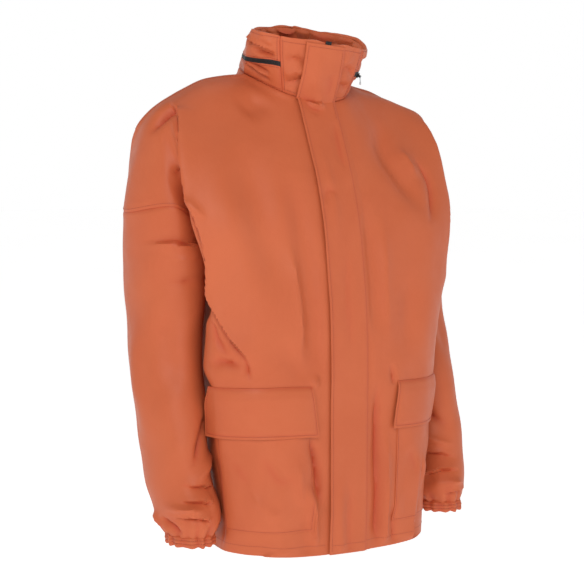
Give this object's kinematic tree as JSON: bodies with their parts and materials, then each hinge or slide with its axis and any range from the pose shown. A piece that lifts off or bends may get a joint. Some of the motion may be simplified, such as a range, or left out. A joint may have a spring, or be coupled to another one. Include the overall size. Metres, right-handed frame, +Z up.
{
  "type": "raincoat",
  "caption": "Hip-length hooded-collar raincoat held in its worn shape, with drop sleeves, gathered cuffs, storm flap over a front zip and flapped patch pockets",
  "frame": {"origin": "Middle of the neck base, level with the neck sides, where the coat hangs from the wearer's shoulders", "axes": "+X is the wearer's left, +Y is the wearer's back, +Z is up; the front opening faces -Y"},
  "size_m": [0.5992, 0.3107, 0.8472],
  "materials": {
    "coated_cloth": "smooth coated knit with a soft satin sheen",
    "zip_tape": "woven black zip tape with moulded teeth",
    "slider": "black painted die-cast",
    "pull_tab": "grey worn metal"
  },
  "bodies": {
    "coat": {"front_right": "coated_cloth", "front_left": "coated_cloth", "back": "coated_cloth", "sleeve_right": "coated_cloth", "sleeve_left": "coated_cloth", "cuff_right": "coated_cloth", "cuff_left": "coated_cloth", "collar_front_right": "coated_cloth", "collar_front_left": "coated_cloth", "collar_band_lower": "coated_cloth", "collar_hood_cover": "coated_cloth", "collar_inner": "coated_cloth", "storm_flap": "coated_cloth", "pocket_right": "coated_cloth", "pocket_left": "coated_cloth", "pocket_flap_right": "coated_cloth", "pocket_flap_left": "coated_cloth", "collar_zip": "zip_tape", "front_zip": "zip_tape", "collar_zip_slider": "slider"},
    "pull": {"collar_zip_pull": "pull_tab"}
  },
  "joints": [
    {"name": "collar_pull_hinge", "type": "hinge", "parent": "coat", "child": "pull", "pos_m": [0.07726, -0.04602, 0.00386], "axis": [-0.6851, -0.716, -0.1343], "range_deg": [0, 80]}
  ]
}
